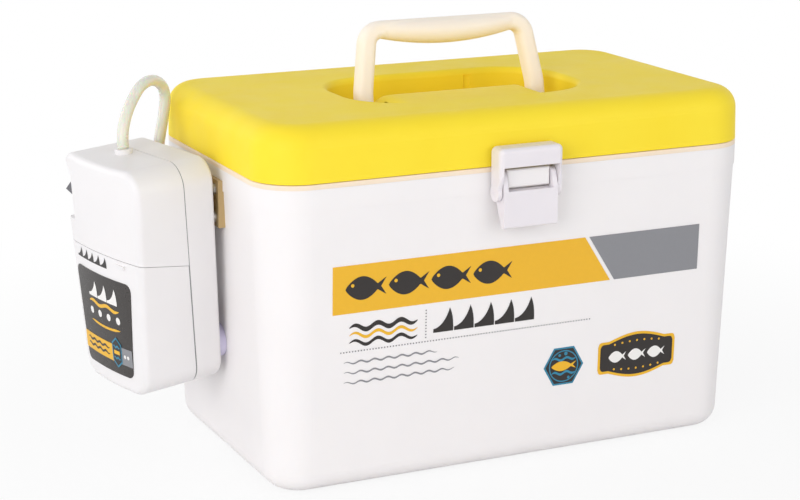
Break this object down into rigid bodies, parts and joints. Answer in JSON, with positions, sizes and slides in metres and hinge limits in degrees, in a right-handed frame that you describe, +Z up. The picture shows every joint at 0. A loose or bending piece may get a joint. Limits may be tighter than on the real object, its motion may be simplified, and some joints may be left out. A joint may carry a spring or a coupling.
{
  "type": "aerated live bait box",
  "caption": "Insulated rectangular bait box with a hinged lid, swing handle, draw latch and a hung battery air pump that feeds an air stone through a tube.",
  "frame": {"origin": "middle of the flat base that the box stands on", "axes": "+X along the box's length away from the air pump, +Y towards the hinges, +Z up"},
  "size_m": [0.4059, 0.2189, 0.2669],
  "materials": {
    "white_shell": "moulded white polyethylene, satin",
    "cream_liner": "moulded cream polypropylene, satin",
    "yellow_lid": "moulded yellow polyethylene, satin",
    "cream_handle": "moulded cream polypropylene, slightly milky",
    "latch_plastic": "moulded white acetal, satin",
    "pump_plastic": "moulded white styrene, satin",
    "white_fittings": "moulded white nylon, satin",
    "switch_grey": "moulded grey plastic, satin",
    "black_plastic": "moulded black plastic, satin",
    "cell_jacket": "printed steel battery jacket",
    "label_black": "printed vinyl label, near black",
    "amber_print": "amber printed band",
    "grey_print": "grey printed band",
    "black_print": "near-black printed ink",
    "teal_print": "teal printed ink",
    "white_print": "white printed ink",
    "clear_tube": "clear flexible air line, slightly milky",
    "grey_rubber": "grey sealing rubber",
    "lavender_rubber": "pale lavender soft rubber",
    "black_rubber": "black moulded rubber",
    "air_stone_grit": "bonded blue-grey mineral grit",
    "insulation_foam": "rigid insulating foam",
    "hinge_steel": "stainless steel, brushed",
    "motor_can": "drawn steel motor can",
    "contact_metal": "nickel-plated spring steel"
  },
  "bodies": {
    "box": {"outer_shell": "white_shell", "foam_core": "insulation_foam", "inner_liner": "cream_liner", "hinge_leaves_box": "hinge_steel", "hinge_pins": "hinge_steel", "hinge_screws_box": "hinge_steel", "lever_pin": "latch_plastic", "pump_hanger": "white_fittings", "hanger_screws": "hinge_steel", "port_elbow": "white_fittings", "port_washer": "grey_rubber", "port_nut": "white_fittings", "inner_elbow": "white_fittings", "air_stone": "air_stone_grit", "stone_fitting": "white_fittings", "air_tube": "clear_tube", "inner_air_tube": "clear_tube", "front_band_amber": "amber_print", "front_band_grey": "grey_print"},
    "lid": {"lid_shell": "yellow_lid", "lid_liner": "cream_liner", "lid_gasket": "grey_rubber", "lid_foam": "insulation_foam", "handle_pins": "hinge_steel", "hinge_leaves_lid": "hinge_steel", "hinge_screws_lid": "hinge_steel"},
    "handle": {"handle": "cream_handle"},
    "latch_lever": {"latch_lever": "latch_plastic"},
    "latch_bail": {"latch_bail": "latch_plastic", "bail_pin": "latch_plastic"},
    "pump": {"pump_back_case": "pump_plastic", "pump_front_case": "pump_plastic", "case_seal": "grey_rubber", "case_screws": "hinge_steel", "wall_bumpers": "lavender_rubber", "battery_cradle": "black_plastic", "battery_cells": "cell_jacket", "lower_contact": "contact_metal", "upper_contacts": "contact_metal", "motor": "motor_can", "motor_clamp": "black_plastic", "valve_head": "black_plastic", "diaphragm": "black_rubber", "yoke": "white_fittings", "outlet_nipple": "pump_plastic", "switch_bezel": "switch_grey", "switch_body": "switch_grey"},
    "battery_door": {"battery_door": "pump_plastic", "pump_label": "label_black"},
    "switch_rocker": {"switch_rocker": "switch_grey"},
    "motor_rotor": {"motor_shaft": "hinge_steel", "crank_cam": "white_fittings"}
  },
  "joints": [
    {"name": "lid_hinge", "type": "hinge", "parent": "box", "child": "lid", "pos_m": [0, 0.103, 0.1917], "axis": [-1, 0, 0], "range_deg": [0, 100]},
    {"name": "handle_swing", "type": "hinge", "parent": "lid", "child": "handle", "pos_m": [0, -0.002, 0.206], "axis": [1, 0, 0], "range_deg": [-47, 69]},
    {"name": "latch_lift", "type": "hinge", "parent": "box", "child": "latch_lever", "pos_m": [-0.001, -0.104, 0.1857], "axis": [-1, 0, 0], "range_deg": [-4, 110]},
    {"name": "bail_swing", "type": "hinge", "parent": "latch_lever", "child": "latch_bail", "pos_m": [-0.001, -0.104, 0.177], "axis": [-1, 0, 0], "range_deg": [-127, 5]},
    {"name": "pump_lift", "type": "slide", "parent": "box", "child": "pump", "axis": [-0.0685, -0.0133, 0.9976], "range_m": [0, 0.028], "deforming": ["air_tube"]},
    {"name": "door_slide", "type": "slide", "parent": "pump", "child": "battery_door", "axis": [0.0685, 0.0133, -0.9976], "range_m": [0, 0.03]},
    {"name": "switch_press", "type": "hinge", "parent": "pump", "child": "switch_rocker", "pos_m": [-0.23007, 0.0464, 0.16698], "axis": [0.5575, 0.8287, 0.0493], "range_deg": [0, 16]},
    {"name": "rotor_spin", "type": "hinge", "parent": "pump", "child": "motor_rotor", "pos_m": [-0.20513, -0.00442, 0.15899], "axis": [-0.1908, 0.9816, 0], "continuous": true}
  ],
  "couplings": [
    {"joint": "bail_swing", "follows": "latch_lift", "ratio": -1.15}
  ]
}
